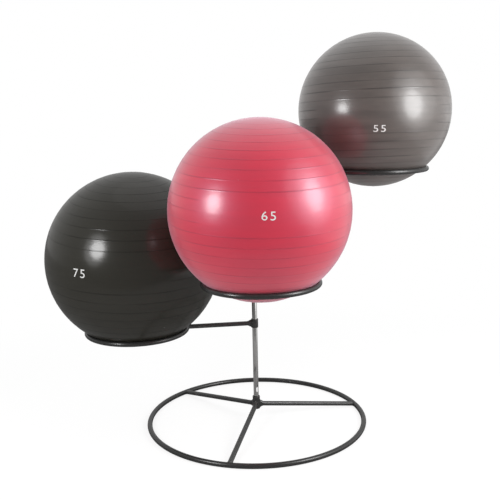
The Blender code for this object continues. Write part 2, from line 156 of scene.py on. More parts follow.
def linkNew(name, data):
    made = bpy.data.objects.new(name, data)
    scene.collection.objects.link(made)
    return made


def drawnMesh(name, curve):
    # the mesh of a text or a line
    drawn = linkNew(name, curve)
    bpy.context.view_layer.update()
    mesh = bpy.data.meshes.new_from_object(drawn)
    bpy.data.objects.remove(drawn, do_unlink=True)
    return mesh


def addMesh(name, mesh, material, body, stands=(), smoothTo=35):
    mesh.shade_smooth()
    mesh.set_sharp_from_angle(angle=radians(smoothTo))
    mesh.materials.clear()
    mesh.materials.append(material)
    piece = linkNew(name, mesh)
    if body:
        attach(piece, body)
    if stands:
        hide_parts(*stands)
    return piece


def addPiece(name, shape, place, material, body, stands=(), smoothTo=35):
    bmesh.ops.transform(shape, matrix=place, verts=shape.verts)
    mesh = bpy.data.meshes.new(name)
    shape.to_mesh(mesh)
    shape.free()
    return addMesh(name, mesh, material, body, stands, smoothTo)


def setSocket(tree, socket, value):
    # another node's output is linked, a plain value is typed in
    if isinstance(value, bpy.types.NodeSocket):
        tree.links.new(value, socket)
    else:
        socket.default_value = value


def setSockets(tree, sockets, values):
    for name, value in values.items():
        setSocket(tree, sockets[name], value)


def addNode(tree, kind, values=None, **settings):
    node = tree.nodes.new("ShaderNode" + kind)
    for name, value in settings.items():
        setattr(node, name, value)
    setSockets(tree, node.inputs, values or {})
    return node


def objectPlace(tree):
    return addNode(tree, "TexCoord").outputs["Object"]


def compute(tree, operation, *values):
    return addNode(tree, "Math", dict(enumerate(values)), operation=operation).outputs[0]


def addNoise(tree, place, scale, detail, **more):
    values = {"Vector": place, "Scale": scale, "Detail": detail, **more}
    return addNode(tree, "TexNoise", values).outputs["Fac"]


def remap(tree, value, low, high, span=(0.0, 1.0), curve="LINEAR"):
    # the span of the value spread over low to high
    values = {
        "Value": value, "From Min": span[0], "From Max": span[1], "To Min": low, "To Max": high
    }
    return addNode(tree, "MapRange", values, interpolation_type=curve).outputs[0]


def mixColors(tree, factor, first, second):
    return addNode(tree, "Mix", {0: factor, 6: first, 7: second}, data_type="RGBA").outputs[2]


def newGroup(name, inputs, outputs):
    group = bpy.data.node_groups.new(name, "ShaderNodeTree")
    for label, kind, value in inputs:
        socket = group.interface.new_socket(label, in_out="INPUT", socket_type="NodeSocket" + kind)
        socket.default_value = value
    for label, kind in outputs:
        group.interface.new_socket(label, in_out="OUTPUT", socket_type="NodeSocket" + kind)
    entry = group.nodes.new("NodeGroupInput")
    leave = group.nodes.new("NodeGroupOutput")
    return group, entry.outputs, leave.inputs


def useGroup(tree, group, **values):
    node = tree.nodes.new("ShaderNodeGroup")
    node.node_tree = group
    setSockets(tree, node.inputs, values)
    return node.outputs


# Surface effects that several finishes share. Noise scales are per metre.
shared = {
    "waves": 14.0, "folds": 12.0, "foldTurn": (0.3, 0.5, 0.0), "foldStretch": (1.0, 1.0, 2.4),
    "foldWidth": 0.012, "foldedWhere": (0.50, 0.62), "streakRough": 0.7, "fewMarks": 0.78,
    "moreMarks": -0.35, "fullMark": 0.85, "patches": 6.0, "markedWhere": (0.42, 0.62),
    "dustFacing": (0.25, 1.0), "dustWhere": (0.35, 0.75), "ridge": (0.53, 0.62),
    "rubs": 220.0, "rubbedWhere": (0.45, 0.65),
}


def makeGrain():
    group, entry, leave = newGroup(
        "skin grain",
        [("Scale", "Float", 500.0), ("Depth", "Float", 0.00005), ("Waves", "Float", 0.0),
         ("Creases", "Float", 0.0)],
        [("Normal", "Vector"), ("Height", "Float")],
    )
    place = objectPlace(group)
    fine = addNoise(group, place, entry["Scale"], detail=3.0)
    broad = addNoise(group, place, shared["waves"], detail=1.0)
    tall = compute(group, "MULTIPLY", broad, entry["Waves"])
    small = compute(group, "MULTIPLY", fine, entry["Depth"])
    both = compute(group, "ADD", tall, small)
    # thin folds, where a slow noise crosses its middle
    turned = addNode(
        group, "Mapping",
        {"Vector": place, "Rotation": shared["foldTurn"], "Scale": shared["foldStretch"]},
    ).outputs[0]
    slow = addNoise(group, turned, shared["folds"], detail=2.0)
    away = compute(group, "ABSOLUTE", compute(group, "SUBTRACT", slow, 0.5))
    fold = remap(group, away, 1.0, 0.0, (0.0, shared["foldWidth"]), "SMOOTHSTEP")
    where = remap(group, broad, 0.0, 1.0, shared["foldedWhere"])
    shown = compute(group, "MULTIPLY", fold, where)
    sunk = compute(group, "MULTIPLY", shown, entry["Creases"])
    height = compute(group, "SUBTRACT", both, sunk)
    bump = addNode(group, "Bump", {"Height": height, "Distance": 1.0, "Strength": 1.0})
    group.links.new(bump.outputs["Normal"], leave["Normal"])
    group.links.new(fine, leave["Height"])
    return group


def makeMarks():
    group, entry, leave = newGroup(
        "handling marks",
        [("Stretch", "Vector", (1.0, 1.0, 1.0)), ("Scale", "Float", 40.0),
         ("Amount", "Float", 0.4)],
        [("Mask", "Float")],
    )
    place = objectPlace(group)
    turned = addNode(group, "Mapping", {"Vector": place, "Scale": entry["Stretch"]}).outputs[0]
    streaks = addNoise(group, turned, entry["Scale"], detail=5.0, Roughness=shared["streakRough"])
    patches = addNoise(group, place, shared["patches"], detail=2.0)
    start = compute(
        group, "MULTIPLY_ADD", entry["Amount"], shared["moreMarks"], shared["fewMarks"]
    )
    marked = remap(group, streaks, 0.0, 1.0, (start, shared["fullMark"]))
    where = remap(group, patches, 0.0, 1.0, shared["markedWhere"])
    group.links.new(compute(group, "MULTIPLY", marked, where), leave["Mask"])
    return group


def makeDust():
    group, entry, leave = newGroup(
        "settled dust", [("Amount", "Float", 0.1), ("Scale", "Float", 60.0)], [("Mask", "Float")]
    )
    lie = addNode(group, "SeparateXYZ", {0: addNode(group, "NewGeometry").outputs["Normal"]})
    facing = remap(group, lie.outputs["Z"], 0.0, 1.0, shared["dustFacing"])
    specks = addNoise(group, objectPlace(group), entry["Scale"], detail=6.0)
    uneven = remap(group, specks, 0.0, 1.0, shared["dustWhere"])
    lying = compute(group, "MULTIPLY", facing, uneven)
    group.links.new(compute(group, "MULTIPLY", lying, entry["Amount"]), leave["Mask"])
    return group


def makeRubbedEdge():
    group, entry, leave = newGroup("rubbed edge", [("Amount", "Float", 0.5)], [("Mask", "Float")])
    point = addNode(group, "NewGeometry").outputs["Pointiness"]
    ridge = remap(group, point, 0.0, 1.0, shared["ridge"])
    broken = addNoise(group, objectPlace(group), shared["rubs"], detail=4.0)
    patchy = remap(group, broken, 0.0, 1.0, shared["rubbedWhere"])
    worn = compute(group, "MULTIPLY", ridge, patchy)
    group.links.new(compute(group, "MULTIPLY", worn, entry["Amount"]), leave["Mask"])
    return group


skinGrain = makeGrain()
handlingMarks = makeMarks()
settledDust = makeDust()
rubbedEdge = makeRubbedEdge()


def newMaterial(name):
    material = bpy.data.materials.new(name)
    material.use_nodes = True
    return material, material.node_tree, material.node_tree.nodes["Principled BSDF"].inputs


def gray(value):
    return (value, value, value, 1.0)


frameCoat = {
    "color": (0.018, 0.018, 0.0178, 1.0), "paler": (0.026, 0.026, 0.0257, 1.0),
    "bare": (0.20, 0.195, 0.19, 1.0), "scuffed": gray(0.05), "dusty": gray(0.30),
    "grain": 620.0, "peel": 0.000006, "waves": 0.00003, "streaks": 90.0, "marks": 0.35,
    "dust": 0.03, "specks": 240.0, "rubbed": 0.55, "smooth": 0.22, "rough": 0.30,
    "refraction": 1.12, "gloss": 0.37, "coat": 2.3, "blur": 0.24,
}


def makePowderCoat():
    material, tree, skin = newMaterial("charcoal powder coat")
    grain = useGroup(
        tree, skinGrain, Scale=frameCoat["grain"], Depth=frameCoat["peel"],
        Waves=frameCoat["waves"],
    )
    marks = useGroup(
        tree, handlingMarks, Stretch=(1, 1, 1), Scale=frameCoat["streaks"],
        Amount=frameCoat["marks"],
    )
    dust = useGroup(tree, settledDust, Amount=frameCoat["dust"], Scale=frameCoat["specks"])
    edge = useGroup(tree, rubbedEdge, Amount=frameCoat["rubbed"])
    coat = mixColors(tree, grain["Height"], frameCoat["color"], frameCoat["paler"])
    scuffed = mixColors(tree, marks["Mask"], coat, frameCoat["scuffed"])
    rubbed = mixColors(tree, edge["Mask"], scuffed, frameCoat["bare"])
    setSockets(tree, skin, {
        "Base Color": mixColors(tree, dust["Mask"], rubbed, frameCoat["dusty"]),
        "Roughness": remap(tree, grain["Height"], frameCoat["smooth"], frameCoat["rough"]),
        "Normal": grain["Normal"], "IOR": frameCoat["refraction"],
        "Coat Weight": frameCoat["gloss"], "Coat IOR": frameCoat["coat"],
        "Coat Roughness": frameCoat["blur"],
    })
    return material


plateLook = {
    "lines": 900.0, "lineDepth": 0.00002, "lineStrength": 0.5, "streaks": 160.0, "marks": 0.6,
    "clouds": 30.0,
}
poleFinish = {
    "color": (0.88, 0.872, 0.857, 1.0), "dull": (0.66, 0.653, 0.640, 1.0),
    "smooth": 0.10, "rough": 0.22,
    # a painted highlight under the foot button: a small pale patch that is not metal
    "paintedHighlight": {"place": (0.0050, -0.0098, 0.142), "reach": (0.006, 0.006, 0.013),
              "edge": (1.0, 0.7), "color": gray(0.80)},
}


def makePlating(name, finish, stretch=(1.0, 1.0, 1.0)):
    # drawn tube with plating over it: long fine draw lines and dull handling marks
    material, tree, skin = newMaterial(name)
    place = objectPlace(tree)
    turned = addNode(tree, "Mapping", {"Vector": place, "Scale": stretch}).outputs[0]
    lines = addNoise(tree, turned, plateLook["lines"], detail=4.0)
    marks = useGroup(
        tree, handlingMarks, Stretch=stretch, Scale=plateLook["streaks"], Amount=plateLook["marks"]
    )
    clouds = addNoise(tree, place, plateLook["clouds"], detail=3.0)
    bright = mixColors(tree, lines, finish["dull"], finish["color"])
    color = mixColors(tree, marks["Mask"], bright, finish["dull"])
    rough = remap(tree, clouds, finish["smooth"], finish["rough"])
    metal = 1.0
    if "paintedHighlight" in finish:
        # a painted highlight: a small pale patch under the foot button
        paintedHighlight = finish["paintedHighlight"]
        middle = poleAxis + Vector(paintedHighlight["place"])
        aside = addNode(tree, "VectorMath", {0: place, 1: middle}, operation="SUBTRACT").outputs[0]
        scaled = addNode(
            tree, "VectorMath", {0: aside, 1: paintedHighlight["reach"]}, operation="DIVIDE"
        ).outputs[0]
        far = addNode(tree, "VectorMath", {0: scaled}, operation="LENGTH").outputs["Value"]
        highlightPatch = remap(tree, far, 0.0, 1.0, paintedHighlight["edge"])
        color = mixColors(tree, highlightPatch, color, paintedHighlight["color"])
        metal = remap(tree, highlightPatch, 1.0, 0.0)
    depth, strength = plateLook["lineDepth"], plateLook["lineStrength"]
    bump = addNode(tree, "Bump", {"Height": lines, "Distance": depth, "Strength": strength})
    setSockets(tree, skin, {
        "Base Color": color, "Metallic": metal, "Roughness": rough,
        "Normal": bump.outputs["Normal"],
    })
    return material


plasticLook = {"grain": 1500.0, "depth": 0.00003, "streaks": 300.0, "marks": 0.5}


def makePlastic(name, finish):
    material, tree, skin = newMaterial(name)
    grain = useGroup(
        tree, skinGrain, Scale=plasticLook["grain"], Depth=plasticLook["depth"], Waves=0.0
    )
    marks = useGroup(
        tree, handlingMarks, Stretch=(1, 1, 1), Scale=plasticLook["streaks"],
        Amount=plasticLook["marks"],
    )
    speckled = mixColors(tree, grain["Height"], finish["color"], finish["paler"])
    setSockets(tree, skin, {
        "Base Color": mixColors(tree, marks["Mask"], speckled, finish["paler"]),
        "Roughness": remap(tree, grain["Height"], finish["smooth"], finish["rough"]),
        "Normal": grain["Normal"],
    })
    return material


powderCoat = makePowderCoat()
plating = makePlating("bright drawn plating", poleFinish, (1.0, 1.0, 0.02))
zinc = makePlating(
    "zinc plate", {"color": gray(0.42), "dull": gray(0.27), "smooth": 0.28, "rough": 0.45}
)
springSteel = makePlating(
    "blued spring steel",
    {"color": (0.20, 0.21, 0.24, 1), "dull": (0.10, 0.105, 0.12, 1), "smooth": 0.2, "rough": 0.4},
    (1.0, 1.0, 0.1),
)
darkZinc = makePlating(
    "black zinc plate", {"color": gray(0.10), "dull": gray(0.05), "smooth": 0.28, "rough": 0.45}
)
capPlastic = makePlastic(
    "black cap plastic",
    {"color": gray(0.022), "paler": gray(0.040), "smooth": 0.38, "rough": 0.52},
)
plugPlastic = makePlastic(
    "white plug plastic",
    {"color": (0.66, 0.66, 0.63, 1), "paler": (0.74, 0.74, 0.72, 1), "smooth": 0.32,
     "rough": 0.45},
)
print("frame finishes made")

# Balls. Ribs run round an axis that leans a little; in front they stop at a plain panel.
# Angles are in degrees; a panel is its lowest and highest rise and its half width.
# line is how dark the painted shade along the ribs is
ballLook = {
    "lower": {
        "color": (0.0232, 0.0216, 0.0165, 1), "deep": (0.005, 0.005, 0.004, 1),
        "uneven": 0.12, "line": 0.5, "dust": 0.005, "refraction": 1.18, "shineTint": gray(1),
        "sheen": 0.0, "sheenTint": gray(1), "gloss": 0.42, "blur": 0.17, "coat": 1.95,
        "lean": (2, -5), "firstRib": 20.2, "ribStep": 6.5, "panel": (-3.0, 17.0, 62),
        "number": "75", "facing": (-115.81, 2.02), "roll": -2.3, "size": (0.0520, 0.0325),
    },
    "middle": {
        "color": (0.590, 0.006, 0.026, 1), "deep": (0.29, 0.003, 0.015, 1),
        "uneven": 0.20, "line": 0.68, "dust": 0.01, "refraction": 1.80,
        "shineTint": (0.90, 0.68, 1.0, 1), "sheen": 0.46, "sheenTint": (1.0, 0.74, 0.90, 1),
        "gloss": 0.82, "blur": 0.22, "coat": 1.62,
        "lean": (1, -4), "firstRib": 21.5, "ribStep": 6.42, "panel": (-2.5, 18.2, 46),
        "number": "65", "facing": (-85.66, 4.44), "roll": -1.8, "size": (0.0452, 0.0280),
    },
    "upper": {
        "color": (0.097, 0.079, 0.071, 1), "deep": (0.032, 0.026, 0.023, 1),
        "uneven": 0.45, "line": 1.0, "dust": 0.01, "refraction": 1.56, "shineTint": gray(1),
        "sheen": 0.10, "sheenTint": (1.0, 0.95, 0.93, 1),
        "gloss": 1.0, "blur": 0.21, "coat": 1.62,
        "lean": (-1, 2), "firstRib": 7.4, "ribStep": 6.15, "panel": (-14.0, 4.3, 53),
        "number": "55", "facing": (-95.05, -12.02), "roll": -1.1, "size": (0.0450, 0.0250),
    },
}
ballSkin = {
    "slot": {"lower": "ball_black", "middle": "ball_red", "upper": "ball_grey"},
    "steps": 160, "poleTurns": (82, 84, 86, 88, 90), "lastRib": 79,
    # a rib's outline in its half widths, and the loops between two ribs in shares of a step
    "acrossRib": (-1.8, -1, -0.5, 0, 0.5, 1, 1.8), "betweenRibs": (0.36, 0.64),
    "ribHalfWidth": 0.0019, "ribHeight": 0.0004, "pressedFlat": (0.012, 0.05), "panelEdge": 7,
    # the painted shade line along a rib, and the noise that makes ribs clear in places and faint
    # in others
    "lineWidth": 1.5, "faintLine": 0.3, "faintHeight": 0.6, "plainRib": 0.75, "clearRibs": 2,
    "clearRound": 1.9, "clearRib": 3.7, "clearBall": 90, "clearWhere": (-0.30, 0.35),
    # the vinyl's surface
    "grain": 760.0, "depth": 0.00003, "waves": 0.0007, "creases": 0.00008,
    "stretch": (1, 1, 3), "streaks": 26.0, "marks": 0.25, "handled": gray(0.30),
    "specks": 110.0, "dusty": gray(0.45),
    "bands": (1.0, 1.0, 7.0), "clouds": 5.0, "cloudedWhere": (0.3, 0.7),
    "smooth": 0.36, "rough": 0.54, "ribGloss": 0.6, "sheenRough": 0.45,
}


def makeVinyl(level):
    look = ballLook[level]
    material, tree, skin = newMaterial(ballSkin["slot"][level].replace("_", " ") + " vinyl")
    grain = useGroup(
        tree, skinGrain, Scale=ballSkin["grain"], Depth=ballSkin["depth"],
        Waves=ballSkin["waves"], Creases=ballSkin["creases"],
    )
    marks = useGroup(
        tree, handlingMarks, Stretch=ballSkin["stretch"], Scale=ballSkin["streaks"],
        Amount=ballSkin["marks"],
    )
    dust = useGroup(tree, settledDust, Amount=look["dust"], Scale=ballSkin["specks"])
    # cloudy bands that lie along the ribs
    banded = addNode(
        tree, "Mapping", {"Vector": objectPlace(tree), "Scale": ballSkin["bands"]}
    ).outputs[0]
    clouds = addNoise(tree, banded, ballSkin["clouds"], detail=5.0)
    tint = remap(tree, clouds, 0.0, look["uneven"], ballSkin["cloudedWhere"])
    tinted = mixColors(tree, tint, look["color"], look["deep"])
    # painted shade: a dark line along each rib, standing in for the shade at the rib's sides
    foot = addNode(tree, "Attribute", attribute_name="paintedRibShade").outputs["Fac"]
    ribShaded = mixColors(tree, compute(tree, "MULTIPLY", foot, look["line"]), tinted, look["deep"])
    handled = mixColors(tree, marks["Mask"], ribShaded, ballSkin["handled"])
    setSockets(tree, skin, {
        "Base Color": mixColors(tree, dust["Mask"], handled, ballSkin["dusty"]),
        "Roughness": remap(tree, clouds, ballSkin["smooth"], ballSkin["rough"]),
        "Normal": grain["Normal"], "IOR": look["refraction"], "Specular Tint": look["shineTint"],
        "Sheen Weight": look["sheen"], "Sheen Roughness": ballSkin["sheenRough"],
        "Sheen Tint": look["sheenTint"], "Coat Roughness": look["blur"], "Coat IOR": look["coat"],
        "Coat Weight": remap(tree, foot, look["gloss"], ballSkin["ribGloss"] * look["gloss"]),
    })
    return material


def ribTurns(look):
    count = int(2 * ballSkin["lastRib"] / look["ribStep"])
    turns = [look["firstRib"] + look["ribStep"] * k for k in range(-count, count)]
    return [turn for turn in turns if abs(turn) < ballSkin["lastRib"]]


def numberWay(look):
    # the way from a ball's middle to its number
    azimuth, rise = map(radians, look["facing"])
    return Vector((cos(azimuth) * cos(rise), sin(azimuth) * cos(rise), sin(rise)))


def makeBall(level):
    look = ballLook[level]
    radius = ballRadius[level]
    ribs = ribTurns(look)
    halfTurn = degrees(ballSkin["ribHalfWidth"] / radius)
    turns = [sign * turn for turn in ballSkin["poleTurns"] for sign in (-1, 1)]
    for rib in ribs:
        turns += [rib + halfTurn * part for part in ballSkin["acrossRib"]]
        turns += [rib + look["ribStep"] * part for part in ballSkin["betweenRibs"]]
    turns = [radians(turn) for turn in sorted(turns) if abs(turn) <= 90]
    shape = spun(
        [(radius * max(0, cos(turn)), radius * sin(turn)) for turn in turns], ballSkin["steps"]
    )
    panelLow, panelHigh, panelHalfWidth = look["panel"]
    leanX, leanY = (tan(radians(angle)) for angle in look["lean"])
    axis = Vector((leanX, leanY, 1)).normalized()
    lean = Vector((0, 0, 1)).rotation_difference(axis).to_matrix().to_4x4()
    front = lean.inverted() @ numberWay(look)
    frontTurn = atan2(front.y, front.x)
    ringLow = -cos(asin(holderRing["radius"] / (radius + holderRing["tube"])))
    ribShadeLayer = shape.verts.layers.float.new("paintedRibShade")
    for vert in shape.verts:
        rise = degrees(atan2(vert.co.z, hypot(vert.co.x, vert.co.y)))
        off, number = min((abs(rise - rib), number) for number, rib in enumerate(ribs))
        turn = atan2(vert.co.y, vert.co.x)
        aside = degrees(abs((turn - frontTurn + pi) % (2 * pi) - pi))
        inFront = 1 - smoothStep(panelHalfWidth - ballSkin["panelEdge"], panelHalfWidth, aside)
        shown = 1 - inFront if panelLow < rise < panelHigh else 1
        # ribs are clearest just over the panel
        spot = Vector((
            ballSkin["clearRound"] * cos(turn), ballSkin["clearRound"] * sin(turn),
            ballSkin["clearRib"] * number + radius * ballSkin["clearBall"],
        ))
        clear = smoothStep(*ballSkin["clearWhere"], noise.noise(spot))
        if not panelHigh < ribs[number] < panelHigh + ballSkin["clearRibs"] * look["ribStep"]:
            clear *= ballSkin["plainRib"]
        # the holder ring presses the ribs flat
        fromRing = abs((lean @ vert.co).z / radius - ringLow)
        height = max(0, 1 - (off / halfTurn) ** 2) * ballSkin["ribHeight"] * shown
        height *= smoothStep(*ballSkin["pressedFlat"], fromRing)
        height *= between(ballSkin["faintHeight"], 1, clear)
        # painted shade along the rib, kept per vertex
        line = max(0, 1 - off / (ballSkin["lineWidth"] * halfTurn)) ** 0.5
        vert[ribShadeLayer] = line * shown * between(ballSkin["faintLine"], 1, clear)
        vert.co = vert.co * (1 + height / radius)
    return addPiece(
        level + "_ball_skin", shape, Matrix.Translation(ballMiddle[level]) @ lean,
        makeVinyl(level), level + "_ball", (level + "_ball_shell",),
        smoothTo=60,
    )


ink = makePlastic(
    "white ink",
    {"color": (0.62, 0.62, 0.61, 1), "paler": (0.70, 0.70, 0.69, 1), "smooth": 0.38, "rough": 0.5},
)
numberShape = {"cell": 0.006, "lift": 0.0001, "thick": 0.00025, "spacing": 1.24}


def makeNumber(level):
    # plain figures, cut into cells and laid on the ball
    look = ballLook[level]
    radius = ballRadius[level]
    words = bpy.data.curves.new(level + " number", "FONT")
    words.body = look["number"]
    words.space_character = numberShape["spacing"]
    shape = bmesh.new()
    shape.from_mesh(drawnMesh(level + " number", words))
    bmesh.ops.remove_doubles(shape, verts=shape.verts, dist=1e-5)
    xs = [vert.co.x for vert in shape.verts]
    ys = [vert.co.y for vert in shape.verts]
    wide, tall = look["size"]
    bmesh.ops.translate(
        shape, vec=(-(min(xs) + max(xs)) / 2, -(min(ys) + max(ys)) / 2, 0), verts=shape.verts
    )
    bmesh.ops.scale(
        shape, vec=(wide / (max(xs) - min(xs)), tall / (max(ys) - min(ys)), 1), verts=shape.verts
    )
    cell = numberShape["cell"]
    for along, length in (((1, 0, 0), wide), ((0, 1, 0), tall)):
        cuts = int(length / 2 / cell)
        for step in range(-cuts, cuts + 1):
            bmesh.ops.bisect_plane(
                shape, geom=shape.verts[:] + shape.edges[:] + shape.faces[:], dist=1e-6,
                plane_co=Vector(along) * step * cell, plane_no=along,
            )
    out = numberWay(look)
    across = Vector((0, 0, 1)).cross(out).normalized()
    across, up = rolled(across, out.cross(across), look["roll"])
    onBall = radius + numberShape["lift"]
    for vert in shape.verts:
        vert.co = (out + (across * vert.co.x + up * vert.co.y) / radius).normalized() * onBall
    bmesh.ops.recalc_face_normals(shape, faces=shape.faces)
    if shape.faces[:][0].normal.dot(out) < 0:
        bmesh.ops.reverse_faces(shape, faces=shape.faces)
    bmesh.ops.solidify(shape, geom=shape.faces[:], thickness=-numberShape["thick"])
    return addPiece(
        level + "_ball_number", shape, Matrix.Translation(ballMiddle[level]), ink,
        level + "_ball", smoothTo=60,
    )


# face, mouth and floor are radii, in shares of the head's
plugShape = {
    "thick": 0.0012, "face": 0.85, "mouth": 0.45, "floor": 0.38, "deep": 0.0005,
    "rim": 0.0004, "steps": 32,
}


def makePlug(level):
    low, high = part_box(level + "_ball_plug")
    head = (high.x - low.x) / 2
    thick, deep = plugShape["thick"], plugShape["deep"]
    shape = spun(
        [(0, thick), (head, thick), (plugShape["face"] * head, 0), (plugShape["mouth"] * head, 0),
         (plugShape["floor"] * head, deep), (0, deep)],
        plugShape["steps"],
    )
    softenRims(shape, plugShape["rim"], segments=2, sharperThan=20)
    place = Matrix.Translation((ballMiddle[level].x, ballMiddle[level].y, low.z))
    return addPiece(
        level + "_valve_plug", shape, place, plugPlastic, level + "_ball",
        (level + "_ball_plug",),
    )


for level in levelNames:
    makeBall(level)
    makeNumber(level)
    makePlug(level)
print("balls made")

# tall and thin are shares of the plain radius; short is how far before the middle line of its
# hoop the tube ends
tubeEnd = {
    "tall": 1.62, "thin": 0.78, "straight": 0.0016, "taper": 0.016, "taperSteps": 8,
    "sides": 24, "tuck": 0.0025, "short": 0.006,
}


def pressedTube(radius, sleeveRadius, end):
    # tube along X, pressed taller and thinner where it meets its sleeve
    shape = bmesh.new()
    across = Matrix.Rotation(pi / 2, 4, "Y")
    made = bmesh.ops.create_circle(
        shape, segments=tubeEnd["sides"], radius=radius, matrix=across
    )["verts"]
    edges = shape.edges[:]
    straight = sleeveRadius + tubeEnd["straight"]
    steps = tubeEnd["taperSteps"]
    stations = [(sleeveRadius - tubeEnd["tuck"], 1.0)]
    for step in range(steps + 1):
        stations.append(
            (straight + tubeEnd["taper"] * step / steps, 1 - smoothStep(0, steps, step))
        )
    stations.append((end - tubeEnd["short"], 0.0))
    lastX, lastTall, lastThin = 0, 1, 1
    for number, (x, press) in enumerate(stations):
        if number:
            grown = bmesh.ops.extrude_edge_only(shape, edges=edges)["geom"]
            made = [item for item in grown if isinstance(item, bmesh.types.BMVert)]
            edges = [item for item in grown if isinstance(item, bmesh.types.BMEdge)]
        tall, thin = between(1, tubeEnd["tall"], press), between(1, tubeEnd["thin"], press)
        bmesh.ops.scale(shape, vec=(1, thin / lastThin, tall / lastTall), verts=made)
        bmesh.ops.translate(shape, vec=(x - lastX, 0, 0), verts=made)
        lastX, lastTall, lastThin = x, tall, thin
    bmesh.ops.holes_fill(shape, edges=shape.edges, sides=tubeEnd["sides"])
    bmesh.ops.recalc_face_normals(shape, faces=shape.faces)
    return shape


# a search says where along its tube a seam is looked for, from outside to inside
weld = {
    "radius": 0.0019, "points": 110, "halvings": 24, "sleeveSearch": (0.05, 0.0),
    "ripple": 0.22, "pitch": 26, "late": 0.9, "lateScale": 40, "drift": 0.22, "driftScale": 14,
    "swell": 0.15, "swellScale": 9, "driftSeed": 7,
}
noise.seed_set(weld["driftSeed"])  # so that the drift is the same in each run


def seamPath(place, halfWide, halfTall, outside, inside, distance):
    # points round a tube that lies along X of place, where it enters another surface
    path = []
    for step in range(weld["points"]):
        turn = 2 * pi * step / weld["points"]
        near, far = outside, inside
        for _ in range(weld["halvings"]):
            half = (near + far) / 2
            spot = place @ Vector((half, halfWide * cos(turn), halfTall * sin(turn)))
            if distance(spot) > 0:
                near = half
            else:
                far = half
        path.append(spot)
    return path


def pressedSeam(place, tubeRadius, sleeveRadius):
    # where a tube's pressed end enters its sleeve
    return seamPath(
        place, tubeRadius * tubeEnd["thin"], tubeRadius * tubeEnd["tall"], *weld["sleeveSearch"],
        lambda spot: hypot(spot.x - poleAxis.x, spot.y - poleAxis.y) - sleeveRadius,
    )


def hoopSeam(place, tubeRadius, nearest, furthest, middle, ring):
    # where a tube's plain end enters a hoop
    return seamPath(
        place, tubeRadius, tubeRadius, nearest, furthest,
        lambda spot: hypot(
            hypot(spot.x - middle.x, spot.y - middle.y) - ring["radius"], spot.z - middle.z
        ) - ring["tube"],
    )


def makeBead(name, path, radius, body, seed):
    # a hand-laid weld: a closed bead with ripples and a slightly unsteady line
    line = bpy.data.curves.new(name, "CURVE")
    line.dimensions = "3D"
    line.bevel_depth = radius
    line.bevel_resolution = 2
    spline = line.splines.new("POLY")
    spline.points.add(len(path) - 1)
    spline.use_cyclic_u = True
    for number, (point, spot) in enumerate(zip(spline.points, path)):
        along = number / len(path)
        drift = noise.noise_vector(Vector((seed, weld["driftScale"] * along, 0)))
        late = noise.noise(Vector((weld["lateScale"] * along, seed, 1)))
        swell = noise.noise(Vector((weld["swellScale"] * along, seed, 5)))
        ripple = sin(2 * pi * weld["pitch"] * along + weld["late"] * late)
        point.co = (*(spot + drift * radius * weld["drift"]), 1)
        point.radius = 1 + weld["ripple"] * ripple + weld["swell"] * swell
    mesh = drawnMesh(name, line)
    mesh.name = name
    return addMesh(name, mesh, powderCoat, body, smoothTo=70)


def addCoated(name, shape, place, body, node, smoothTo=35):
    return addPiece(name, shape, place, powderCoat, body, (node,), smoothTo)


base = {
    "ring": {"radius": 0.467, "tube": 0.0107, "sides": 20, "steps": 192}, "ringHeight": 0.01046,
    "hubRadius": 0.016, "hubBottom": 0.054, "hubTop": 0.110, "hubRim": 0.0012,
    "spoke": 0.010, "spokeHeight": 0.075, "hubWeld": 1.1, "weldLift": 1.45,
    "hoopSearch": (0.04, 0.002), "hubSeed": 3, "hoopSeed": 13,
}


def makeBase():
    ring, spoke, hubRadius = base["ring"], base["spoke"], base["hubRadius"]
    place = onPole(base["ringHeight"])
    middle = place.translation
    addCoated("base_hoop", hoop(ring), place, "stand", "base_ring", smoothTo=60)
    hub = tube(
        hubRadius, poleSize["radius"] + poleSize["gap"], base["hubBottom"], base["hubTop"],
        base["hubRim"],
    )
    addCoated("hub_tube", hub, onPole(), "stand", "hub_sleeve")
    drop = base["spokeHeight"] - middle.z
    slope, length = atan2(drop, ring["radius"]), hypot(drop, ring["radius"])
    nearest, furthest = (length - short for short in base["hoopSearch"])
    for number in range(3):
        name = f"spoke_{number + 1}"
        turn = turnTo(middleOf("base_" + name))
        place = onPole(base["spokeHeight"], turn) @ Matrix.Rotation(slope, 4, "Y")
        addCoated(
            name, pressedTube(spoke, hubRadius, length), place, "stand", "base_" + name,
            smoothTo=60,
        )
        atHub = pressedSeam(place, spoke, hubRadius)
        makeBead(
            name + "_hub_weld", atHub, weld["radius"] * base["hubWeld"], "stand",
            base["hubSeed"] + number,
        )
        atHoop = hoopSeam(place, spoke, nearest, furthest, middle, ring)
        # the bead stays off the floor
        for spot in atHoop:
            spot.z = max(spot.z, base["weldLift"] * weld["radius"])
        makeBead(
            name + "_hoop_weld", atHoop, weld["radius"], "stand", base["hoopSeed"] + number
        )


arm = {
    "reach": 0.500, "tube": 0.0095, "collarRadius": 0.015, "collarLength": 0.038,
    "collarRim": 0.0012, "collarWeld": 0.9, "hoopFit": 0.98, "hoopSearch": (0.04, 0.001),
    "seeds": {"lower": 21, "middle": 23, "upper": 25},
}


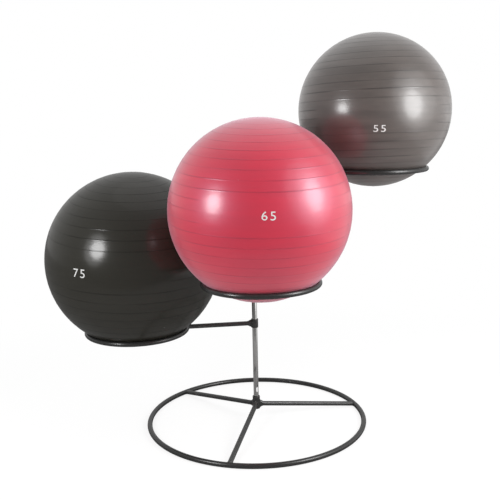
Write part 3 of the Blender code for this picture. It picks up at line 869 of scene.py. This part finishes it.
def makeArm(level):
    swing, seed = level + "_swing", arm["seeds"][level]
    place = onPole(armHeight[level], turnTo(ringMiddle[level]))
    ringPlace = place @ Matrix.Translation((arm["reach"], 0, 0))
    collarRadius, half = arm["collarRadius"], arm["collarLength"] / 2
    collar = tube(
        collarRadius, poleSize["radius"] + poleSize["gap"], -half, half, arm["collarRim"]
    )
    addCoated(level + "_collar_tube", collar, place, swing, level + "_collar")
    addCoated(
        level + "_holder_hoop", hoop(holderRing), ringPlace, swing, level + "_ring", smoothTo=60
    )
    end = arm["reach"] - holderRing["radius"]
    addCoated(
        level + "_arm_tube", pressedTube(arm["tube"], collarRadius, end), place, swing,
        level + "_arm", smoothTo=60,
    )
    atCollar = pressedSeam(place, arm["tube"], collarRadius)
    makeBead(level + "_collar_weld", atCollar, weld["radius"] * arm["collarWeld"], swing, seed)
    nearest, furthest = (end - short for short in arm["hoopSearch"])
    atHoop = hoopSeam(
        place, arm["tube"] * arm["hoopFit"], nearest, furthest, ringPlace.translation, holderRing
    )
    makeBead(level + "_hoop_weld", atHoop, weld["radius"], swing, seed + 1)


makeBase()
for level in levelNames:
    makeArm(level)
print("base and arms made")

# The spring buttons and their turns round the pole, in degrees
buttonTurns = {
    "foot_lock": -55, "joint_lock": 110, "lower_stop": 110, "middle_stop": 110, "upper_stop": 110,
}
# dome: shares of the radius and how far each lies below the tip
buttonShape = {
    "radius": 0.003, "steps": 32, "hole": 0.0033, "drill": 0.014, "lockReach": 0.0018,
    "stopReach": 0.003, "dome": ((0, 0), (0.45, 0.0001), (0.8, 0.0005), (1, 0.0013)),
    "seat": 0.0042, "seatGap": 0.0002, "flange": 0.004, "flangeThick": 0.001, "clipGap": 0.0011,
}


def buttonPlace(name):
    # X of this place points out of the pole through the button
    low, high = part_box(name + "_button")
    return onPole((low.z + high.z) / 2, radians(buttonTurns[name]))


def drillHoles(piece, names):
    # round holes for the spring buttons, cut with a boolean that is then made mesh
    drill = bmesh.new()
    outwards = Matrix.Translation((poleSize["radius"], 0, 0)) @ Matrix.Rotation(pi / 2, 4, "Y")
    for name in names:
        bmesh.ops.create_cone(
            drill, cap_ends=True, segments=buttonShape["steps"], radius1=buttonShape["hole"],
            radius2=buttonShape["hole"], depth=buttonShape["drill"],
            matrix=buttonPlace(name) @ outwards,
        )
    mesh = bpy.data.meshes.new("drill")
    drill.to_mesh(mesh)
    drill.free()
    cutter = linkNew("drill", mesh)
    cut = piece.modifiers.new("holes", "BOOLEAN")
    cut.operation = "DIFFERENCE"
    cut.solver = "EXACT"
    cut.object = cutter
    bpy.context.view_layer.update()
    drilled = piece.evaluated_get(bpy.context.evaluated_depsgraph_get())
    mesh = bpy.data.meshes.new_from_object(drilled)
    piece.modifiers.clear()
    piece.data = mesh
    bpy.data.objects.remove(cutter, do_unlink=True)


# capCrown and capShoulder are shares of the cap's radius; heights are above the pole's end
poleShape = {
    "swage": 0.006, "rim": 0.0003, "capCrown": 0.62, "capShoulder": 0.9,
    "shoulderHeight": 0.0056, "edgeHeight": 0.0031, "capRim": 0.0008, "flange": 0.004,
}


def makePole():
    radius, wall, gap, steps = (poleSize[key] for key in ("radius", "wall", "gap", "steps"))
    foot, spigotTop = (corner.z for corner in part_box("pole_lower"))
    joint, top = (corner.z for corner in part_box("pole_upper"))
    bore = radius - wall
    spigot = bore - gap
    inner = spigot - wall
    shoulder = joint - gap
    shape = spun(
        [(spigot, spigotTop), (spigot, shoulder), (radius, shoulder), (radius, foot),
         (bore, foot), (bore, shoulder - poleShape["swage"]), (inner, shoulder - wall),
         (inner, spigotTop)],
        steps, closed=True,
    )
    softenRims(shape, poleShape["rim"], segments=2)
    lower = addPiece(
        "pole_lower_tube", shape, onPole(), plating, "stand", ("pole_lower",)
    )
    drillHoles(lower, ["foot_lock", "joint_lock", "lower_stop"])
    shape = tube(radius, bore, joint, top, poleShape["rim"], segments=2)
    upper = addPiece(
        "pole_upper_tube", shape, onPole(), plating, "stand", ("pole_upper",)
    )
    drillHoles(upper, ["joint_lock", "middle_stop", "upper_stop"])
    low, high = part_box("pole_cap")
    rim = (high.x - low.x) / 2
    seat = top + gap
    cap = spun(
        [(0, high.z), (poleShape["capCrown"] * rim, high.z),
         (poleShape["capShoulder"] * rim, seat + poleShape["shoulderHeight"]),
         (rim, seat + poleShape["edgeHeight"]), (rim, seat), (spigot, seat), (spigot, low.z),
         (0, low.z)],
        steps,
    )
    softenRims(cap, poleShape["capRim"], sharperThan=18)
    addPiece("pole_end_cap", cap, onPole(), capPlastic, "stand", ("pole_cap",))
    low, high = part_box("base_post")
    bottom = base["hubBottom"]
    flange = bottom + poleShape["flange"]
    post = spun(
        [(0, flange), (inner, flange), (inner, high.z), (spigot, high.z), (spigot, flange),
         (radius, flange), (radius, bottom), (0, bottom)],
        steps,
    )
    softenRims(post, poleShape["rim"], segments=2)
    piece = addPiece("hub_post", post, onPole(), zinc, "stand", ("base_post",))
    drillHoles(piece, ["foot_lock"])


def makeButton(name):
    body = name  # each button moves on a body of its own
    # a lock goes through both tubes of its joint, a stop through one
    isLock = name.endswith("_lock")
    wall = poleSize["wall"]
    bore = poleSize["radius"] - wall - (wall + poleSize["gap"] if isLock else 0)
    tip = poleSize["radius"] + buttonShape["lockReach" if isLock else "stopReach"]
    seat = (bore ** 2 - buttonShape["seat"] ** 2) ** 0.5 - buttonShape["seatGap"]
    radius, flange = buttonShape["radius"], buttonShape["flange"]
    back = seat - buttonShape["flangeThick"]
    shape = spun(
        [(share * radius, tip - below) for share, below in buttonShape["dome"]]
        + [(radius, seat), (flange, seat), (flange, back), (0, back)],
        buttonShape["steps"],
    )
    addPiece(
        name + "_stud", shape, buttonPlace(name) @ Matrix.Rotation(pi / 2, 4, "Y"), darkZinc,
        body, (name + "_button",), smoothTo=40,
    )
    makeSpring(name, bore, seat - buttonShape["clipGap"])


springShape = {
    "thick": 0.0006, "wide": 0.006, "bend": 0.0022, "long": 0.030, "straight": 0.0056,
    "legSteps": 8, "bendSteps": 16,
}


def makeSpring(name, bore, front):
    # V leaf behind the stud: one leg moves in with the stud, the other rests on the tube
    wide, bend, thick = springShape["wide"], springShape["bend"], springShape["thick"]
    bendHeight = bend - springShape["long"]
    straight = springShape["straight"]
    back = -((bore - poleSize["gap"]) ** 2 - (wide / 2) ** 2) ** 0.5
    legSteps, bendSteps = springShape["legSteps"], springShape["bendSteps"]
    shares = [step / legSteps for step in range(1, legSteps)]
    path = [(front, straight), (front, 0), (front, -straight)]
    path += [(between(front, bend, s), between(-straight, bendHeight, s)) for s in shares]
    for step in range(bendSteps + 1):
        turn = pi * step / bendSteps
        path.append((bend * cos(turn), bendHeight - bend * sin(turn)))
    path += [(between(-bend, back, s), between(bendHeight, -straight, s)) for s in shares]
    path += [(back, -straight), (back, 0), (back, straight)]
    inside = []
    for number, (x, z) in enumerate(path):
        (x0, z0), (x1, z1) = path[max(0, number - 1)], path[min(len(path) - 1, number + 1)]
        length = hypot(x1 - x0, z1 - z0)
        inside.append((x + (z1 - z0) / length * thick, z - (x1 - x0) / length * thick))
    shape = bmesh.new()
    ring = [shape.verts.new((x, -wide / 2, z)) for x, z in path + inside[::-1]]
    made = bmesh.ops.extrude_face_region(shape, geom=[shape.faces.new(ring)])["geom"]
    far = [item for item in made if isinstance(item, bmesh.types.BMVert)]
    bmesh.ops.translate(shape, vec=(0, wide, 0), verts=far)
    bmesh.ops.recalc_face_normals(shape, faces=shape.faces)
    place = buttonPlace(name)
    spring = addPiece(
        name + "_spring", shape, place, springSteel, None, (name + "_clip",),
        smoothTo=50,
    )
    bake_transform(spring)


makePole()
for name in buttonTurns:
    makeButton(name)
print("pole and buttons made")

# Floor, light and camera. Each lamp has its place, its width and height, and its watts.
studio = {
    "ambient": 0.63, "frontWall": 0.17, "backWall": 0.70, "ceiling": 0.2,
    "wallSpan": (-0.75, 0.95), "floorRadius": 14, "floorEdge": -1.5, "floorSunk": 0.0004,
    "floorPaint": 0.86, "floorMirrored": 0.24, "floorShare": 0.22, "floorLight": 0.80,
    "floorSpan": (1.2, 2.4), "lampsAim": (0, -0.1, 0.95),
    "lamps": {
        "left softbox": ((-1.60, -1.50, 1.45), (0.64, 0.72), 13.0),
        "left glow": ((-1.75, -1.55, 1.50), (1.10, 1.40), 6.0),
        "right softbox": ((1.62, -1.04, 1.50), (0.76, 0.96), 11.0),
        "right glow": ((1.75, -1.10, 1.60), (1.40, 1.70), 7.2),
        "right wide glow": ((1.90, -1.15, 1.70), (2.50, 2.80), 15.0),
        "top softbox": ((0.0, 0.4, 3.2), (2.4, 2.4), 2.5),
        "low right glow": ((2.20, 0.00, 0.45), (3.20, 3.00), 9.5),
    },
}


def seenRays(tree):
    # 1 for what the camera, a mirror or glass sees, 0 for light that falls on a surface
    rays = addNode(tree, "LightPath").outputs
    first = compute(tree, "MAXIMUM", rays["Is Camera Ray"], rays["Is Glossy Ray"])
    return compute(tree, "MAXIMUM", first, rays["Is Transmission Ray"])


def addShader(tree, kind, values):
    return addNode(tree, kind, values).outputs[0]


def makeFloor():
    # white to the camera, with the object's shadow near it, and darker in mirrors
    material = bpy.data.materials.new("pale floor")
    material.use_nodes = True
    tree = material.node_tree
    tree.nodes.clear()
    share = studio["floorShare"]
    far = addNode(
        tree, "VectorMath", {0: objectPlace(tree)}, operation="LENGTH"
    ).outputs["Value"]
    fade = remap(tree, far, 0.0, 1.0, studio["floorSpan"], "SMOOTHSTEP")
    paint = addShader(tree, "BsdfDiffuse", {"Color": gray(studio["floorPaint"])})
    faint = addShader(tree, "BsdfDiffuse", {"Color": gray(share)})
    mirrored = addNode(tree, "LightPath").outputs["Is Glossy Ray"]
    level = remap(tree, mirrored, 1.0, studio["floorMirrored"])
    lit = compute(tree, "SUBTRACT", level, share * studio["floorLight"])
    part = addShader(tree, "Emission", {"Strength": lit})
    white = addShader(tree, "Emission", {"Strength": level})
    both = addShader(tree, "AddShader", {0: faint, 1: part})
    seen = addShader(tree, "MixShader", {0: fade, 1: both, 2: white})
    last = addShader(tree, "MixShader", {0: seenRays(tree), 1: paint, 2: seen})
    addNode(tree, "OutputMaterial", {"Surface": last})
    material.cycles.emission_sampling = "NONE"
    shape = bmesh.new()
    bmesh.ops.create_circle(shape, cap_ends=True, segments=96, radius=studio["floorRadius"])
    bmesh.ops.translate(shape, vec=(0, 0, -studio["floorSunk"]), verts=shape.verts)
    bmesh.ops.bisect_plane(
        shape, geom=shape.verts[:] + shape.edges[:] + shape.faces[:],
        plane_co=(0, studio["floorEdge"], 0), plane_no=(0, -1, 0), clear_outer=True,
    )
    mesh = bpy.data.meshes.new("studio_floor")
    shape.to_mesh(mesh)
    shape.free()
    mesh.materials.append(material)
    floor = linkNew("studio_floor", mesh)


def makeWorld():
    world = bpy.data.worlds.new("white studio")
    scene.world = world
    world.use_nodes = True
    tree = world.node_tree
    tree.nodes.clear()
    # what the object mirrors: a room that is darker behind the camera than overhead and behind
    way = addNode(
        tree, "SeparateXYZ", {0: addNode(tree, "TexCoord").outputs["Generated"]}
    ).outputs
    raised = compute(tree, "MULTIPLY_ADD", way["Z"], studio["ceiling"], way["Y"])
    wall = remap(
        tree, raised, studio["frontWall"], studio["backWall"], studio["wallSpan"], "SMOOTHSTEP"
    )
    level = compute(tree, "MAXIMUM", wall, addNode(tree, "LightPath").outputs["Is Camera Ray"])
    shown = addShader(tree, "Background", {"Strength": level, "Color": gray(1)})
    soft = addShader(tree, "Background", {"Strength": studio["ambient"], "Color": gray(1)})
    mixed = addShader(tree, "MixShader", {0: seenRays(tree), 1: soft, 2: shown})
    addNode(tree, "OutputWorld", {"Surface": mixed})


def makeLamps():
    for name, (place, size, power) in studio["lamps"].items():
        lamp = bpy.data.lights.new(name, "AREA")
        lamp.shape = "ELLIPSE"
        lamp.size, lamp.size_y = size
        lamp.energy = power
        holder = linkNew(name, lamp)
        holder.location = place
        away = Vector(place) - Vector(studio["lampsAim"])
        holder.rotation_euler = away.to_track_quat("Z", "Y").to_euler()


viewing = {
    "place": (0, -3.160, 1.354), "down": 10.63, "left": 0.24, "roll": -1.266,
    "sensor": 36, "focalPixels": 760, "imagePixels": 500,
}


def makeCamera():
    down, left = radians(viewing["down"]), radians(viewing["left"])
    ahead = Vector((-sin(left) * cos(down), cos(left) * cos(down), -sin(down)))
    right = Vector((cos(left), sin(left), 0))
    right, up = rolled(right, right.cross(ahead), viewing["roll"])
    camera = bpy.data.cameras.new("camera")
    camera.sensor_width = viewing["sensor"]
    camera.lens = viewing["sensor"] * viewing["focalPixels"] / viewing["imagePixels"]
    eye = linkNew("camera", camera)
    turned = Matrix((right, up, -ahead)).transposed().to_4x4()
    eye.matrix_world = Matrix.Translation(poleAxis + Vector(viewing["place"])) @ turned
    scene.camera = eye


makeFloor()
makeWorld()
makeLamps()
makeCamera()
scene.view_settings.view_transform = "Standard"
print("floor, lights and camera made")
